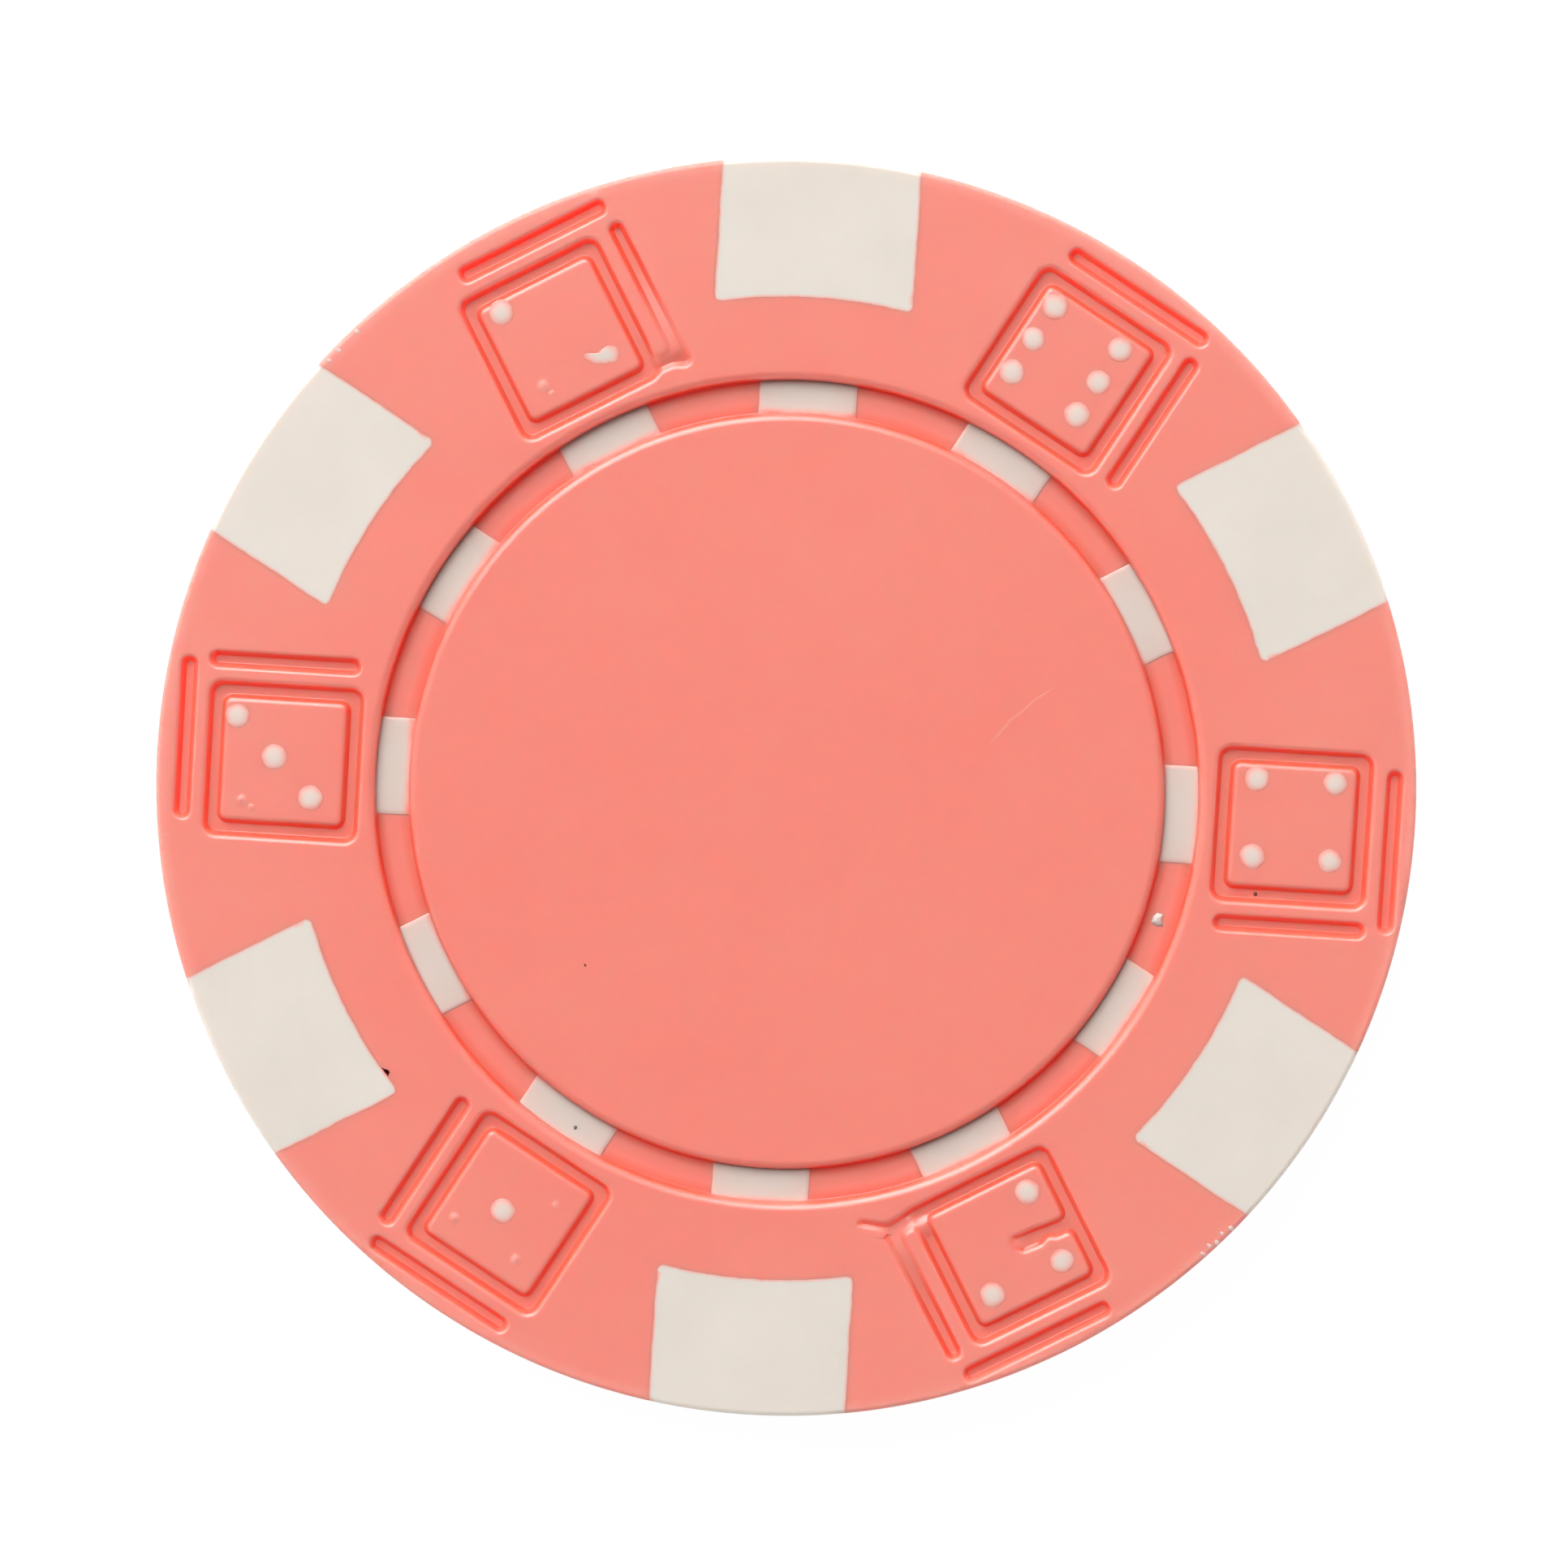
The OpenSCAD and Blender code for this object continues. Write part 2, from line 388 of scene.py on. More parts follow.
def roundCorner(before, here, after, radius, grow=0.0, steps=6):
    before, here, after = Vector(before), Vector(here), Vector(after)
    into, away = (here - before).normalized(), (after - here).normalized()
    turn = math.atan2(into.x * away.y - into.y * away.x, into.dot(away))
    side = 1 if turn > 0 else -1
    centre = here - into * radius * abs(math.tan(turn / 2)) + Vector((-into.y, into.x)) * radius * side
    spoke = Vector((into.y, -into.x)) * side * (radius + grow * side)
    return [centre + Matrix.Rotation(turn * k / steps, 2) @ spoke for k in range(steps + 1)]


def roundedLoop(corners, radii, grow=0.0, sideStep=0.4):
    following = corners[1:] + corners[:1]
    around = zip([corners[-1], *corners[:-1]], corners, following, radii)
    arcs = [roundCorner(before, here, after, radius, grow) for before, here, after, radius in around]
    loop = []
    for arc, nextArc in zip(arcs, arcs[1:] + arcs[:1]):
        loop += arc if not loop or (arc[0] - loop[-1]).length > samePlace else arc[1:]
        gap = nextArc[0] - arc[-1]
        pieces = int(gap.length / sideStep + 0.01)
        loop += [arc[-1] + gap * k / (pieces + 1) for k in range(1, pieces + 1)]
    if (loop[0] - loop[-1]).length < samePlace:
        loop.pop()
    return loop


# Coral body: the second shot, with the disc, the ring groove, the dice and the rim
coralSizes = {                                   # mm
    "radius": 20.0, "thick": 3.3, "rimRound": 0.16,
    "rimFaceTurns": (50, 40, 30, 20, 10, 0),     # degrees of the rim's rounding that are drawn with the face
    "rimSideTurns": (60, 70, 80, 90),            # and those that are drawn with the side
    "ringOuter": 13.19, "ringInner": 11.907, "ringDepth": 0.43, "discDrop": 0.06, "floorStep": 0.45,
    "spotWide": 6.3, "spotInner": 15.6, "spotCorner": 0.22, "spotStraight": 0.5,
    "spotWave": 0.028, "waveStep": 0.45, "waveRows": (3.1, 9.7), "waveHold": 0.7,
    "dieStep": 60, "dieOut": 16.08,
    "faceHalf": 1.935, "faceDrop": 0.04, "faceCorner": 0.22,
    "frameHalf": 2.455, "frameDepth": 0.26, "frameCorner": 0.42,
    "slotMid": 3.145, "slotWide": 0.46,
    "rimSlotLong": 5.1, "rimSlotShift": -0.6, "sideSlotLong": 4.75, "sideSlotShift": 0.1,
    "ringWall": (86.0, 0.26), "frameWall": (56.0, 0.17),     # slope in degrees, upper rounding
    "slotWall": (56.0, 0.12), "faceWall": (56.0, 0.2),
    "rootRound": 0.04, "flatStrip": 0.02,
    "wallFill": 0.95,                            # most of a wall's height that its roundings may take
    "patternShift": (0.058, -0.064),             # the second shot's pattern lies a little off the middle
    "dieShift": {
        4: (-0.02, -0.1), 6: (-0.05, -0.05), 2: (-0.05, -0.02),
        3: (-0.07, 0.0), 1: (0.0, 0.02), 5: (0.0, -0.05)},
    # the glow below is a painted shade of deeper red in the grooves, with light running further in there
    "glowDepth": 0.35,                           # share of a groove's depth where its glow is full
    "frameGlow": (0.72, 0.97), "ringGlow": (0.4, 0.96),      # glow lost on the floor, and where that starts
    "markStep": 30.0, "markLimits": (1.775, 1.475), "markGlow": 0.45,    # glow lost beside the white marks
    "circleSteps": 240, "rimSteps": 40, "spotSteps": 18,
}
diceOrder = [4, 6, 2, 3, 1, 5]                   # counter-clockwise from +X
spotTurns = [coralSizes["dieStep"] * (i + 0.5) for i in range(len(diceOrder))]

# The worn places of the two and the five: their limits, and the shares of the depth that are kept
wornSizes = {                                    # mm
    "legX": (-1.3, -1.8), "legY": (-2.2, -2.55), "slotX": (1.0, -1.8), "slotY": (-2.65, -2.85),
    "nearX": {2: (-1.9, -2.4), 5: (-1.1, -2.4)}, "keep": {2: (0.2, 0.45), 5: (0.25, 0.5)},
    "tailX": -2.0, "tailY": (-3.2, -3.5), "tailAt": (-2.33, -3.2), "tailLean": 0.68,
    "tailSide": (0.05, 0.3), "tailFade": (0.35, 0.65),
    "bridgeX": ((-1.38, -1.62), (-2.02, -1.86)), "bridgeY": ((-2.75, -2.55), (-1.7, -1.85)), "bridge": 0.5,
    "trenchX": (-0.35, 0.6), "trenchY": (0.0, 1.9), "trenchRamp": (0.0, 0.6), "trenchDeep": 0.17,
    "runOnWide": 0.62, "runOnCorner": 0.2,
    "gridFrom": (-2.75, -4.1), "gridStep": 0.13, "gridCount": (14, 18),
}

# Small flaws of the upper face as (place, width, height); on the dice outwards and counter-clockwise, on
# the disc x and y
flawSizes = {                                    # mm
    "dieBumps": {
        1: [(1.1, -1.34, 0.34, 0.04), (1.13, 1.01, 0.36, 0.04), (-1.04, 1.12, 0.24, 0.025)],
        2: [(-1.09, 1.13, 0.38, 0.03), (-1.42, 1.0, 0.2, 0.02)],
        3: [(1.26, 1.28, 0.34, 0.035), (0.95, 1.5, 0.22, 0.025)],
    },
    "frameDirt": {4: [(-1.0, -2.2, 0.13, 0.02)]},
    "discDirt": [(-5.98, -5.94, 0.09, 0.01)],
    "scratch": [
        (6.3, 1.73), (6.75, 2.3), (7.02, 2.68), (7.4, 3.0), (7.75, 3.37), (8.1, 3.62), (8.49, 3.93)],
    "scratchWide": 0.07, "scratchHigh": 0.004, "scratchStep": 0.05, "scratchEnd": 12, "scratchTint": 0.6,
    "nickSpot": 3, "nickAt": 2.38, "nickWide": 0.36, "nickDeep": 0.15,
}


# Moulded wall from an upper plane down: distances outwards from the nominal edge, and depths
def wallSteps(drop, kind, s=coralSizes, arcSteps=5):
    slope, edge = math.radians(s[kind][0]), s[kind][1]
    bend = 1 - math.cos(slope)
    fit = min(1.0, s["wallFill"] * drop / ((edge + s["rootRound"]) * bend))
    edge, root = edge * fit, s["rootRound"] * fit
    straight = (drop - (edge + root) * bend) / math.sin(slope)
    half = ((edge + root) * math.sin(slope) + straight * math.cos(slope)) / 2
    turns = [slope * k / arcSteps for k in range(arcSteps + 1)]
    steps = [(half + s["flatStrip"], 0.0)]
    steps += [(half - edge * math.sin(a), edge * (1 - math.cos(a))) for a in turns]
    steps += [(root * math.sin(a) - half, drop - root * (1 - math.cos(a))) for a in reversed(turns)]
    return steps + [(-half - s["flatStrip"], drop)]


def cutOutline(shell, loopAt, steps, top, side=1):
    rings = [addRing(shell, loopAt(side * out), top - down) for out, down in steps]
    joinAll(shell, rings)
    return rings[0], rings[-1]


# How much painted shade, a deeper red, a point of a groove takes, which also lets light run further in: not
# at its edge, fully on its wall, and less on its floor
def glow(down, fade, floorStart, s=coralSizes):
    return smooth(0.0, s["glowDepth"], down) * (1 - fade * smooth(floorStart, 1.0, down))


def box(left, right, low, high):
    return [(left, low), (right, low), (right, high), (left, high)]


# Outlines of the grooves round one die, as corners and their radii; x points outwards, y counter-clockwise
def dieOutlines(value, s=coralSizes, w=wornSizes):
    half, corner = s["frameHalf"], s["frameCorner"]
    mid, wide = s["slotMid"], s["slotWide"] / 2
    rimLow, rimHigh = [s["rimSlotShift"] + side * s["rimSlotLong"] / 2 for side in (-1, 1)]
    sideIn, sideOut = [s["sideSlotShift"] + side * s["sideSlotLong"] / 2 for side in (-1, 1)]
    rimSlot = (box(mid - wide, mid + wide, rimLow, rimHigh), [wide] * 4)
    sideSlot = (box(sideIn, sideOut, -mid - wide, -mid + wide), [wide] * 4)
    square = ([(half, half), (-half, half), (-half, -half), (half, -half)], [corner] * 4)
    # two worn frames run on into the side slot and end in short tails
    tails = {
        2: ([(-half, -2.05), (-2.33, -2.42), (-2.36, -2.85), (-2.66, -3.44)], [0.5, 0.4, 0.5, 0.2]),
        5: ([(-half, -2.3), (-2.33, -3.2), (-2.88, -3.96), (-2.54, -4.21), (-1.95, -3.44)],
            [0.5, 0.5, 0.2, 0.2, 0.3]),
    }
    if value not in tails:
        return [square, sideSlot, rimSlot]
    line, radii = tails[value]
    inward, turn = -half + w["runOnWide"], w["runOnCorner"]
    corners = [(half, half), (-half, half), *line, (sideOut, -mid - wide), (sideOut, -mid + wide)]
    corners += [(inward, -mid + wide), (inward, -half), (half, -half)]
    return [(corners, [corner, corner, *radii, wide, wide, turn, turn, corner]), rimSlot]


def faceOutline(value, s=coralSizes):
    half, corner = s["faceHalf"], s["faceCorner"]
    trench, radii = [], []
    if value == 5:                               # the trench that the coral left open
        trench = [(0.46, half), (0.44, 1.45), (0.31, 1.2), (0.43, 0.9), (0.38, 0.32)]
        trench += [(0.13, 0.05), (-0.2, -0.02), (-0.14, 0.9), (-0.04, half)]
        radii = [0.2] * 7 + [0.5, 0.2]
    corners = [(half, half), *trench, (-half, half), (-half, -half), (half, -half)]
    return corners, [corner, *radii, corner, corner, corner]


# Depth of the worn places: the run-on ramps out, and coral bridges one corner of the five
def wornHeight(value, x, y, z, s=coralSizes, w=wornSizes):
    top = s["thick"]
    down = top - z
    if value in w["keep"]:
        leg = smooth(*w["legX"], x) * smooth(*w["legY"], y)
        leg = max(leg, smooth(*w["slotX"], x) * smooth(*w["slotY"], y))
        least, more = w["keep"][value]
        keep = least + more * smooth(*w["nearX"][value], x)
        if value == 5 and x < w["tailX"]:
            beside = x - w["tailAt"][0] - w["tailLean"] * (y - w["tailAt"][1])
            along, across = w["tailFade"]
            keep *= 1 - smooth(*w["tailY"], y) * (along + across * smooth(*w["tailSide"], beside))
        down *= 1 - leg * (1 - keep)
    if value == 5:
        bridge = w["bridge"]
        for limitsX, limitsY in zip(w["bridgeX"], w["bridgeY"]):
            bridge *= smooth(*limitsX, x) * smooth(*limitsY, y)
        down += bridge * (min(down, s["faceDrop"]) - down)
        if w["trenchX"][0] < x < w["trenchX"][1] and w["trenchY"][0] < y < w["trenchY"][1]:
            down = min(down, s["faceDrop"] + w["trenchDeep"] * smooth(*w["trenchRamp"], y))
    return top - down


# Points of a bump for the fill of a flat face, with a level strip round its foot; its crown takes the given
# mark, by default a painted highlight
def addBump(shell, x, y, wide, rise, level, mark="tint", value=0.25):
    spokes, middle = raggedRing(x, y, wide, 0.5, 8), Vector((x, y))
    foot, crown = [], []
    for share in (1.6, 1.2):
        foot += addRing(shell, [p * share + middle for p in spokes], level)
    for share, high in ((0.8, 0.45), (0.4, 0.9)):
        crown += addRing(shell, [p * share + middle for p in spokes], level + rise * high)
    crown += addRing(shell, [middle], level + rise)
    shell[mark].update({i: value for i in crown})
    return foot + crown


# Points of a scratch, a low ridge with a painted highlight along its middle
def addScratch(shell, level, s=flawSizes):
    places = []
    for first, second in zip(s["scratch"], s["scratch"][1:]):
        gap = Vector(second) - Vector(first)
        across = Vector((-gap.y, gap.x)).normalized() * s["scratchWide"] / 2
        count = int(gap.length / s["scratchStep"])
        places += [(Vector(first) + gap * k / count, across) for k in range(count)]
    made, last, end = [], len(places) - 1, s["scratchEnd"]
    for n, (here, across) in enumerate(places):
        made += addRing(shell, [here + across * k for k in (-2, -1, 1, 2)], level)
        fade = smooth(0, end, n) * smooth(last, last + 1 - end, n)
        ridge = addRing(shell, [here], level + s["scratchHigh"] * fade)
        shell["tint"][ridge[0]] = s["scratchTint"] * fade
        made += ridge
    return made


def dieRelief(value, flawed, s=coralSizes, w=wornSizes):
    patch = newShell()
    top = s["thick"]
    floor, faceTop = top - s["frameDepth"], top - s["faceDrop"]
    edges, roots = [], []
    for n, (corners, radii) in enumerate(dieOutlines(value)):
        wall = wallSteps(s["frameDepth"], "slotWall" if n else "frameWall")
        edge, root = cutOutline(patch, lambda grow: roundedLoop(corners, radii, grow), wall, top)
        edges.append(edge)
        roots.append(root)
    for root in roots[1:]:
        fillFlat(patch, root)
    corners, radii = faceOutline(value)
    wall = wallSteps(s["frameDepth"] - s["faceDrop"], "faceWall")
    face, faceRoot = cutOutline(patch, lambda grow: roundedLoop(corners, radii, grow), wall, faceTop, -1)
    loose, bumps = [], []
    if value in w["keep"]:                       # points for the ramps
        (left, low), step, (columns, rows) = w["gridFrom"], w["gridStep"], w["gridCount"]
        grid = [(left + step * i, low + step * j) for i in range(columns) for j in range(rows)]
        loose += addRing(patch, grid, floor)
    if flawed:
        for flaw in flawSizes["frameDirt"].get(value, []):
            loose += addBump(patch, *flaw, floor, "soil", 1.0)
        for flaw in flawSizes["dieBumps"].get(value, []):
            bumps += addBump(patch, *flaw, faceTop)
    fillFlat(patch, roots[0], [faceRoot], loose)
    fillFlat(patch, face, (), bumps)
    grooveMid = (s["faceHalf"] + s["frameHalf"]) / 2
    for i, (x, y, z) in enumerate(patch["points"]):
        worn = wornHeight(value, x, y, z)
        if z < top:
            start = s["faceDrop"] if max(abs(x), abs(y)) < grooveMid else 0
            down = (top - z - start) / (s["frameDepth"] - start)
            # painted groove shade, less where the worn places were made shallower
            patch["deep"][i] = glow(down, *s["frameGlow"]) * (top - worn) / (top - z)
        patch["points"][i] = (x, y, worn)
    return patch, edges


# Place of something on one die, from its distances outwards and counter-clockwise
def diePlace(index, x, y, z=0.0, s=coralSizes):
    turn = Matrix.Rotation(math.radians(s["dieStep"] * index), 4, "Z")
    return Matrix.Translation((*s["patternShift"], z)) @ turn @ Matrix.Translation((s["dieOut"] + x, y, 0))


# The rim's rounding: the face runs out to its first radius here, and the rest is a strip down to half height
def rimRadii(s=coralSizes):
    start, r = s["radius"] - s["rimRound"], s["rimRound"]
    return [start + r * math.sin(math.radians(a)) for a in s["rimFaceTurns"]] + [start - s["flatStrip"]]


def rimSteps(s=coralSizes):
    start, r = s["radius"] - s["rimRound"], s["rimRound"]
    arc = [math.radians(a) for a in s["rimSideTurns"]]
    steps = [(start + r * math.sin(a), s["thick"] - r * (1 - math.cos(a))) for a in arc]
    return steps + [(s["radius"], s["thick"] / 2)]


# Lowers what lies on the rounding, the slots' edges too, but not the floors of the slots
def dropToRim(shell, s=coralSizes):
    start, r, top = s["radius"] - s["rimRound"], s["rimRound"], s["thick"]
    for i, (x, y, z) in enumerate(shell["points"]):
        over = math.hypot(x, y) - start
        if over > 0 and z > top - s["frameDepth"]:
            share = 1 - (top - z) / s["frameDepth"]
            shell["points"][i] = (x, y, z - share * (r - math.sqrt(r * r - over * over)))


# Border between a spot and the coral, from one end at the rim round to the other; x points outwards
def spotBorder(waved, s=coralSizes, arcSteps=26, sideSteps=9):
    half, inner = s["spotWide"] / 2, s["spotInner"]
    rim = [math.sqrt(r * r - half * half) for r in rimRadii()]
    corner = (math.sqrt(inner ** 2 - half ** 2), -half)
    straight = half - s["spotStraight"]
    heights = [-straight + k * straight / arcSteps for k in range(arcSteps + 1)]
    arc = [(math.sqrt(inner ** 2 - y * y), y) for y in heights]
    bend = roundCorner((rim[0], -half), corner, arc[0], s["spotCorner"])
    side = [(x, -half) for x in rim]
    side += [(rim[-1] + (bend[0].x - rim[-1]) * k / sideSteps, -half) for k in range(1, sideSteps)]
    path = [Vector(p) for p in side + [tuple(p) for p in bend] + arc]
    path += [Vector((p.x, -p.y)) for p in reversed(path[:-1])]
    if waved:
        for n, p in enumerate(path):
            hold = smooth(rim[-1], rim[-1] - s["waveHold"], p.x) * s["spotWave"]
            p += Vector([noise.noise(Vector((n * s["waveStep"], row, 0))) for row in s["waveRows"]]) * hold
    return path


# Arc at one radius between the sides of two spots, or across one spot where low and high are the same
def rimArc(radius, low, high, steps, s=coralSizes):
    lean = math.degrees(math.asin(s["spotWide"] / 2 / radius)) * (1 if high > low else -1)
    low, high = low + lean, high - lean
    return [turned([(radius, 0)], low + (high - low) * k / steps)[0] for k in range(steps + 1)]


# Disc and ring groove of one face in an empty shell; gives the groove's outer edge
def addDisc(shell, flawed, s=coralSizes):
    top, count, middle = s["thick"], s["circleSteps"], Vector(s["patternShift"])
    discTop = top - s["discDrop"]
    wall = wallSteps(s["ringDepth"], "ringWall")
    ringEdge, ringRoot = cutOutline(
        shell, lambda grow: circle(s["ringOuter"] + grow, count, middle), wall, top)
    wall = wallSteps(s["ringDepth"] - s["discDrop"], "ringWall")
    discEdge, discRoot = cutOutline(
        shell, lambda grow: circle(s["ringInner"] + grow, count, middle), wall, discTop, -1)
    ringMid = (s["ringOuter"] + s["ringInner"]) / 2
    for i, (x, y, z) in enumerate(shell["points"]):
        out, halfStep = math.hypot(x, y), s["markStep"] / 2
        start = s["discDrop"] if out < ringMid else 0
        down = (top - z - start) / (s["ringDepth"] - start)
        away = abs((math.degrees(math.atan2(y, x)) + halfStep) % s["markStep"] - halfStep)
        beside = smooth(*s["markLimits"], out * math.sin(math.radians(away)))
        # painted groove shade, less beside the white marks
        shell["deep"][i] = glow(down, *s["ringGlow"]) * (1 - s["markGlow"] * beside)
    radii = (s["ringOuter"] - s["floorStep"], s["ringInner"] + s["floorStep"])
    floorRings = [addRing(shell, circle(r, count, middle), top - s["ringDepth"]) for r in radii]
    joinAll(shell, [ringRoot, *floorRings, discRoot])
    marks = []
    if flawed:
        marks += addScratch(shell, discTop)
        for flaw in flawSizes["discDirt"]:
            marks += addBump(shell, *flaw, discTop, "soil", 1.0)
    fillFlat(shell, discEdge, (), marks)
    return ringEdge


# Border of one spot in the face, with a nick between the two colours at one of them
def faceBorder(index, flawed, s=coralSizes, f=flawSizes):
    border = spotBorder(True)[1:-1]
    if flawed and index == f["nickSpot"]:
        for p in border:
            beside = abs(p.y - f["nickAt"]) / f["nickWide"] * 2
            p.x -= f["nickDeep"] * (1 - smooth(0.2, 1, beside)) if p.x < s["spotInner"] else 0
    return turned(border, spotTurns[index])


# Upper half of the coral body; the lower half is the same, turned over about X
def coralHalf(flawed, s=coralSizes):
    shell = newShell()
    top, steps = s["thick"], s["rimSteps"]
    holes = [addDisc(shell, flawed)]
    for i, value in enumerate(diceOrder):
        patch, edges = dieRelief(value, flawed)
        start = addShell(shell, patch, diePlace(i, *s["dieShift"][value]))
        holes += [[k + start for k in edge] for edge in edges]
    outer, *inner = rimRadii()
    edges, loose, outline, uppers, strips = [], [], [], [], []
    for turn in spotTurns:
        edges.append(addRing(shell, rimArc(outer, turn, turn + s["dieStep"], steps), top))
        for radius in inner:
            loose += addRing(shell, rimArc(radius, turn, turn + s["dieStep"], steps)[1:-1], top)
    for i, edge in enumerate(edges):
        upper = addRing(shell, faceBorder(i, flawed), top)
        uppers.append([edges[i - 1][-1], *upper, edge[0]])
        outline += upper + edge
    fillFlat(shell, outline, holes, loose)
    dropToRim(shell)
    for edge, turn in zip(edges, spotTurns):     # rim between the spots
        arcs = [(rimArc(radius, turn, turn + s["dieStep"], steps), height) for radius, height in rimSteps()]
        strips.append([edge] + [addRing(shell, arc, height) for arc, height in arcs])
        joinAll(shell, strips[-1], closed=False)
    for i, turn in enumerate(spotTurns):         # notches that the spots fill
        lower = addRing(shell, turned(spotBorder(False), turn), top / 2)
        joinRings(shell, uppers[i], lower, closed=False)
        shell["faces"].append(tuple([ring[-1] for ring in strips[i - 1]] + [lower[0]]))
        shell["faces"].append(tuple([ring[0] for ring in strips[i]] + [lower[-1]]))
    return shell


def makeCoralBody():
    shell = newShell()
    addHalves(shell, coralHalf(True), coralHalf(False), coralSizes["thick"])
    body = bpy.data.objects.new("coralBody", shellMesh("coralBody", shell, coralPlastic))
    scene.collection.objects.link(body)
    return body


coralBody = makeCoralBody()
print("coral body made")

# White core: the first shot, one moulding with the edge spots, the ring marks and the pips
whiteSizes = {                                   # mm
    "spots": 6, "marks": 12, "bleedRows": (0.11, 0.275),
    "markWide": 3.15, "markIn": 11.73, "markOut": 13.37, "markTop": 2.888, "markSoil": 0.1, "markSteps": 8,
    "markSide": [                                # past the half width, height and bleeding
        (0.03, -0.2, 1.0), (0.0, -0.054, 0.9), (-0.021, -0.018, 0.8),
        (-0.06, 0.0, 0.45), (-0.18, 0.004, 0.15), (-0.975, 0.006, 0.05)],
    # painted red light bounced from the groove's walls onto the ends of each mark
    "markWalled": (0.42, 0.2), "markWalledTint": 0.9,        # coloured by the groove's walls near its ends
    "markWave": 0.014, "markWaveStep": 2.2, "markWaveRows": (5, 11), "markWaveWide": 0.2,
    "pipWide": 0.76, "pipOut": 16.2, "pipShift": (-0.054, 0.074), "pipPitch": 1.23, "pipRise": 0.028,
    "pipVary": 0.05, "pipSeed": 7, "pipSteps": 20, "pipSharp": 80,
    "pipProfile": [                              # share of the radius, height and bleeding, inside first
        (0.3, 0.97, 0.16), (0.5, 0.88, 0.26), (0.64, 0.74, 0.45), (0.78, 0.5, 0.62),
        (0.92, 0.25, 0.8), (1.04, 0.05, 1), (1.1, -0.25, 1), (1.1, -5.0, 1)],
    "smear": [                                   # the torn pip of the two, outwards and counter-clockwise
        (-1.46, -1.3), (-1.3, -1.5), (-1.06, -1.48), (-0.9, -1.28), (-0.92, -1.06), (-0.98, -0.9),
        (-0.9, -0.72), (-0.76, -0.5), (-0.94, -0.46), (-1.2, -0.64), (-1.4, -0.94)],
    "smearRise": 0.014, "smearCorner": 0.08,
    "flecks": [                                  # chips of white along the rim
        (14.16, -13.88), (14.36, -13.62), (14.58, -13.5), (14.74, -13.2),
        (15.0, -13.0), (-15.2, 12.72), (-14.9, 13.05), (-14.35, 13.66)],
    "fleckSize": (3.285, 0.2, 0.03), "fleckTint": 0.5,       # height of its foot, width, rise
    "ringFleck": (12.11, -3.37, 2.87, 0.42, 0.1), "markDirt": (-6.02, -11.18, 2.893, 0.12, 0.012),
    "flange": [                                  # radius and height
        (18.2, 0.65), (18.2, 2.65), (10.83, 2.65), (10.83, 2.325),
        (16.0, 2.325), (16.0, 0.975), (10.83, 0.975), (10.83, 0.65)],
    "flangeSteps": 96,
}
pipPlaces = {                                    # outwards, counter-clockwise, in steps of the pitch
    1: [(0, 0)], 2: [(1, 1)], 3: [(-1, 1), (0, 0), (1, -1)], 4: [(-1, -1), (-1, 1), (1, -1), (1, 1)],
    5: [(-1, 1), (1, -1), (1, 1)], 6: [(-1, -1), (0, -1), (1, -1), (-1, 1), (0, 1), (1, 1)],
}


# A separate chip of plastic or dirt that sits in a face
def addPimple(shell, x, y, z, wide, rise, mark=None, value=1.0):
    pimple = newShell()
    ring = raggedRing(x, y, wide, 0.7, 7)
    profile = ((1.1, -0.03), (1.0, rise * 0.1), (0.45, rise))
    rings = [addRing(pimple, [p * share for p in ring], height) for share, height in profile]
    joinAll(pimple, rings)
    pimple["faces"] += [tuple(rings[-1]), tuple(rings[0])]
    start = addShell(shell, pimple, Matrix.Translation((x, y, z)))
    if mark:
        shell[mark].update({i: value for i in range(start, len(shell["points"]))})


def spotBlock(s=coralSizes):
    halfBlock = newShell()
    steps, top = s["spotSteps"], s["thick"]
    outer, *inner = rimRadii()
    edge = addRing(halfBlock, rimArc(outer, 0, 0, steps), top)
    loose = [i for radius in inner for i in addRing(halfBlock, rimArc(radius, 0, 0, steps)[1:-1], top)]
    border = spotBorder(True)
    upper = [edge[0], *addRing(halfBlock, border[1:-1], top), edge[-1]]
    for wide in whiteSizes["bleedRows"]:
        inset = []
        for before, here, after in zip(border[2:-4], border[3:-3], border[4:-2]):
            along = (after - before).normalized()
            inset.append(here + Vector((along.y, -along.x)) * wide)
        loose += addRing(halfBlock, inset, top)
    halfBlock["tint"].update({i: 1.0 for i in upper})
    fillFlat(halfBlock, edge + upper[-2:0:-1], (), loose)
    dropToRim(halfBlock)
    rings = [edge]
    rings += [addRing(halfBlock, rimArc(radius, 0, 0, steps), height) for radius, height in rimSteps()]
    joinAll(halfBlock, rings, closed=False)
    lower = addRing(halfBlock, spotBorder(False), top / 2)
    joinRings(halfBlock, upper, lower, closed=False)
    for end in (0, -1):
        halfBlock["faces"].append(tuple([ring[end] for ring in rings] + [lower[end]]))
    block = newShell()
    addHalves(block, halfBlock, halfBlock, top)
    return block


